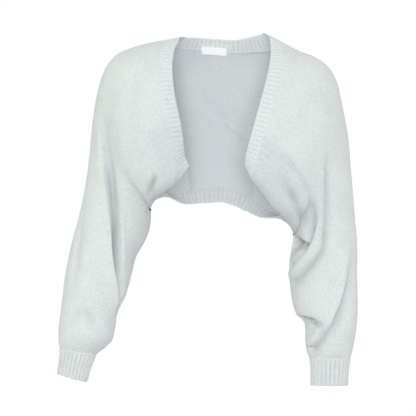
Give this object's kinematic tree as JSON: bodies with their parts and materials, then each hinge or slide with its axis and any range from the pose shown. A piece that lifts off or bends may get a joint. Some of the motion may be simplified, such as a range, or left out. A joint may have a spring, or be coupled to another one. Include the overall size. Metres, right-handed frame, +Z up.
{
  "type": "cropped batwing cardigan",
  "caption": "Cropped open-front cardigan in fine knit with deep batwing sleeves, rib front band, hem and cuffs, filled out as worn and hollow inside.",
  "frame": {"origin": "the middle of the shoulder line at the height of the back neck seam, where the wearer's shoulders hold it", "axes": "+X to the wearer's left, +Y to the back, +Z up"},
  "size_m": [0.5671, 0.2317, 0.6619],
  "materials": {
    "knit": "soft brushed wool knit, matt",
    "rib": "rib knit in the same yarn, matt",
    "label": "bare woven tape"
  },
  "bodies": {
    "root": {"back": "knit", "left_front": "knit", "right_front": "knit", "left_sleeve": "knit", "right_sleeve": "knit", "front_band": "rib", "hem_band": "rib", "left_cuff": "rib", "right_cuff": "rib", "neck_label": "label"}
  },
  "joints": []
}
